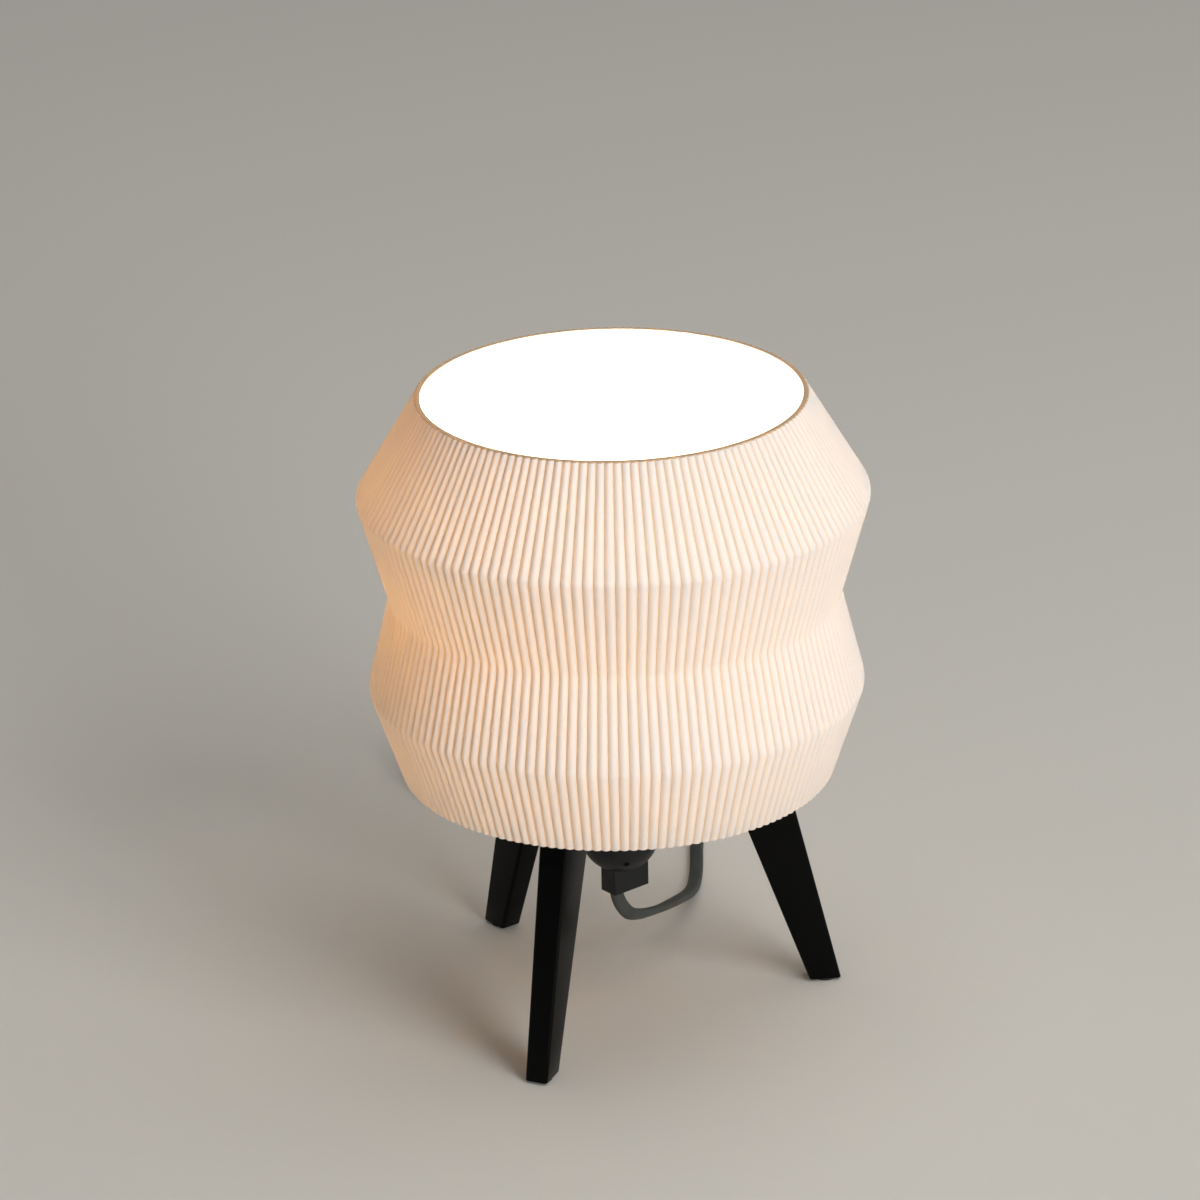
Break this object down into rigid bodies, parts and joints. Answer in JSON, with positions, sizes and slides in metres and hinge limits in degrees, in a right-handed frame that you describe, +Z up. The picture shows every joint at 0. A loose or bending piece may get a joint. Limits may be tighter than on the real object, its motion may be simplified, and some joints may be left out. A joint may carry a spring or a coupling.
{
  "type": "tripod table lamp",
  "caption": "Table lamp with a folded, ribbed translucent drum shade open at the top, on splayed tapered legs, with a screw-in globe bulb and a flat cord with a rocker switch and plug.",
  "frame": {"origin": "on the table, on the lamp's axis, midway under the shade", "axes": "+Z up along the shade's axis, -Y towards the front, +X to the right seen from the front"},
  "size_m": [0.2, 0.3825, 0.2557],
  "materials": {
    "shade": "ribbed, translucent off-white print",
    "leg_black": "satin black",
    "pad_rubber": "soft black",
    "hub_black": "satin black",
    "holder_black": "moulded black thermoplastic",
    "clamp_black": "moulded black thermoplastic",
    "core_white": "steatite white",
    "steel": "zinc plated",
    "brass": "stamped brass",
    "lead_brown": "core insulation",
    "cord_grey": "dark grey soft sheath",
    "bulb_opal": "frosted opal globe",
    "bulb_white": "white housing",
    "bulb_cap": "rolled screw cap",
    "bulb_black": "black insulator",
    "led_alu": "plain disc",
    "led_yellow": "phosphor",
    "driver_green": "circuit board",
    "switch_grey": "moulded dark case",
    "rocker_black": "glossy rocker",
    "plunger_white": "natural nylon",
    "plug_grey": "moulded dark plug",
    "strap_black": "woven hook-and-loop strap",
    "nickel": "nickel plated pins"
  },
  "bodies": {
    "lamp": {"shade": "shade", "shade_ring": "holder_black", "hub_spider": "hub_black", "leg_right": "leg_black", "leg_back": "leg_black", "leg_front": "leg_black", "foot_pads": "pad_rubber", "leg_inserts": "brass", "leg_screws": "steel", "holder_cap": "holder_black", "holder_body": "holder_black", "holder_core": "core_white", "screw_shell": "brass", "centre_contact": "brass", "shell_contact": "brass", "holder_terminals": "brass", "terminal_screws": "steel", "holder_leads": "lead_brown", "cap_lock_screw": "steel", "cord_clamp": "clamp_black", "clamp_screw": "steel", "lamp_cord": "cord_grey", "switch_base": "switch_grey", "switch_cover": "switch_grey", "switch_screws": "steel", "rocker_pin": "steel", "switch_terminals": "brass", "switch_cord": "cord_grey", "cord_coil": "cord_grey", "cord_tie": "strap_black", "plug_cord": "cord_grey", "plug_boot": "plug_grey", "plug_body": "plug_grey", "pin_sleeves": "plug_grey", "plug_pins": "nickel"},
    "bulb_carrier": {"bulb_tip": "bulb_cap"},
    "bulb": {"bulb_globe": "bulb_opal", "bulb_housing": "bulb_white", "bulb_shell": "bulb_cap", "bulb_insulator": "bulb_black", "led_board": "led_alu", "led_chips": "led_yellow", "led_driver": "driver_green"},
    "rocker": {"switch_rocker": "rocker_black", "rocker_plunger": "plunger_white"},
    "lever": {"contact_lever": "brass"}
  },
  "joints": [
    {"name": "bulb_lift", "type": "slide", "parent": "lamp", "child": "bulb_carrier", "axis": [0, 0, 1], "range_m": [0, 0.0085]},
    {"name": "bulb_turn", "type": "hinge", "parent": "bulb_carrier", "child": "bulb", "pos_m": [0, 0, 0.12], "axis": [0, 0, 1], "range_deg": [0, 1080]},
    {"name": "rocker_tilt", "type": "hinge", "parent": "lamp", "child": "rocker", "pos_m": [0.04, 0.223, 0.0115], "axis": [-1, 0, 0], "range_deg": [-16, 0]},
    {"name": "lever_tilt", "type": "hinge", "parent": "lamp", "child": "lever", "pos_m": [0.04, 0.223, 0.0044], "axis": [-1, 0, 0], "range_deg": [0, 12]}
  ],
  "couplings": [
    {"joint": "bulb_lift", "follows": "bulb_turn", "m_per_rad": 0.00044882},
    {"joint": "lever_tilt", "follows": "rocker_tilt", "ratio": -0.75}
  ]
}
